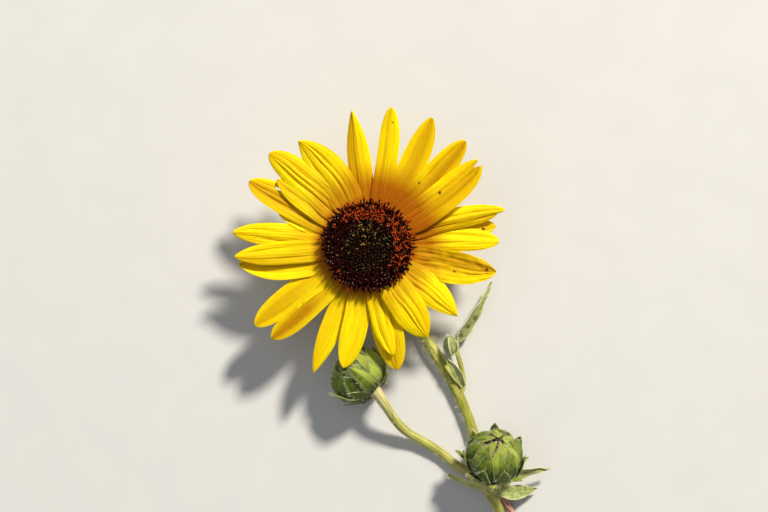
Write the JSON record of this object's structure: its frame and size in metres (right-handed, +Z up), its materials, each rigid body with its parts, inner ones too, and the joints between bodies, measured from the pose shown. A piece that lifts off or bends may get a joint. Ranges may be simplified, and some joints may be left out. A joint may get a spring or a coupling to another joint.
{
  "type": "cut sunflower spray",
  "caption": "Cut spray of wild sunflower lying flat: one open yellow flower with a dark disc, two green buds and small leaves on forked hairy stalks.",
  "frame": {"origin": "centre of the bounding box, on the table that the spray lies on", "axes": "+Z up, the way the open flower faces; +Y along the spray from the stem's cut end to the far side of the flower; +X to the right seen from above"},
  "size_m": [0.1074, 0.1664, 0.03],
  "materials": {
    "petal": "satin, faintly see-through ray petals",
    "disc_florets": "matt, rough with small florets",
    "bract": "matt, hairy green bracts",
    "leaf": "matt grey-green leaf with fine hairs",
    "stem": "matt green stem with stiff pale hairs",
    "dry_stalk": "matt, dead and wrinkled"
  },
  "bodies": {
    "root": {"main_stem": "stem", "flower_stalk": "stem", "rear_bud_stalk": "stem", "front_bud_stalk": "stem", "leaf_stalk": "stem", "dry_stalk": "dry_stalk", "front_bud": "bract", "rear_bud": "bract", "axil_bud": "bract", "narrow_leaf": "leaf", "axil_leaf": "leaf", "node_leaf_upper": "leaf", "node_leaf_lower": "leaf", "node_leaf_left": "leaf", "flower_disc": "disc_florets", "flower_collar": "bract", "petal_01": "petal", "petal_02": "petal", "petal_03": "petal", "petal_04": "petal", "petal_05": "petal", "petal_06": "petal", "petal_07": "petal", "petal_08": "petal", "petal_09": "petal", "petal_10": "petal", "petal_11": "petal", "petal_12": "petal", "petal_13": "petal", "petal_14": "petal", "petal_15": "petal", "petal_16": "petal", "petal_17": "petal", "petal_18": "petal", "petal_19": "petal", "petal_20": "petal", "petal_21": "petal", "petal_22": "petal", "petal_23": "petal", "petal_24": "petal", "petal_25": "petal"}
  },
  "joints": []
}
